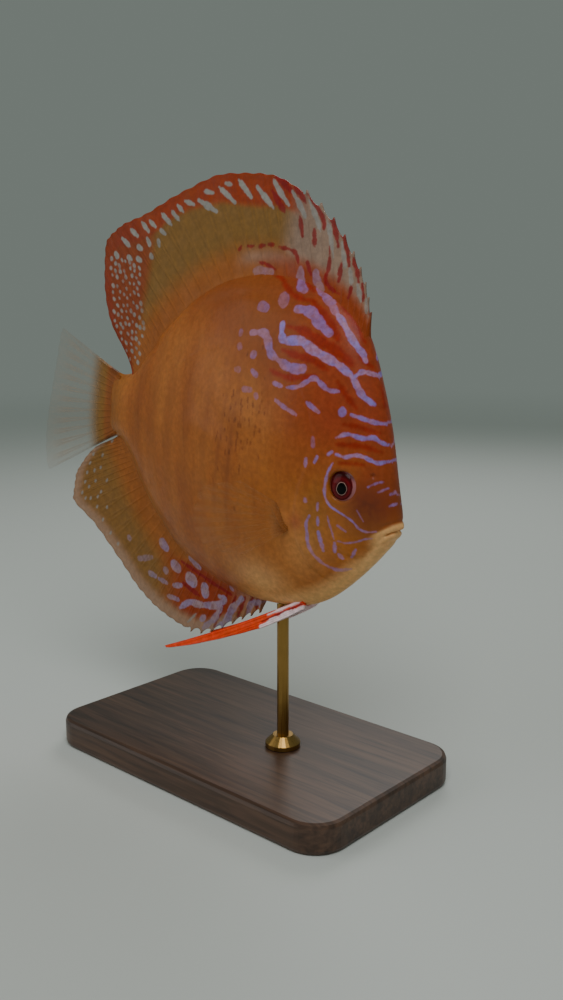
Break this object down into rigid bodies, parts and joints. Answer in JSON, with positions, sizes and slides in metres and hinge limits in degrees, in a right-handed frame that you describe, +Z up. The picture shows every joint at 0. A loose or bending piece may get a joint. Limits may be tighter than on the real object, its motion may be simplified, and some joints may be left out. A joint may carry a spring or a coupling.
{
  "type": "discus fish",
  "caption": "Life-size still model of a discus fish, a tall disc-shaped aquarium fish with long fins, nose slightly down on a flat wooden stand with one rod.",
  "frame": {"origin": "middle of the stand base's underside", "axes": "+X the way the fish heads, +Y to its left, +Z up"},
  "size_m": [0.1772, 0.074, 0.2],
  "materials": {
    "skin": "moist satin skin",
    "face": "moist satin skin",
    "lip": "soft satin skin",
    "red_fin": "wet satin membrane",
    "clear_fin": "thin clear membrane",
    "eye": "wet and glossy",
    "wood": "satin stain",
    "brass": "satin"
  },
  "bodies": {
    "root": {"head": "face", "lower_jaw": "lip", "torso": "skin", "tail_root": "skin", "eye_left": "eye", "eye_right": "eye", "gill_cover_left": "face", "gill_cover_right": "face", "pelvic_fin_left": "red_fin", "pelvic_fin_right": "red_fin", "pectoral_fin_left": "clear_fin", "pectoral_fin_right": "clear_fin", "dorsal_fin": "red_fin", "anal_fin": "red_fin", "tail_fin": "clear_fin", "stand_base": "wood", "stand_rod": "brass"}
  },
  "joints": []
}
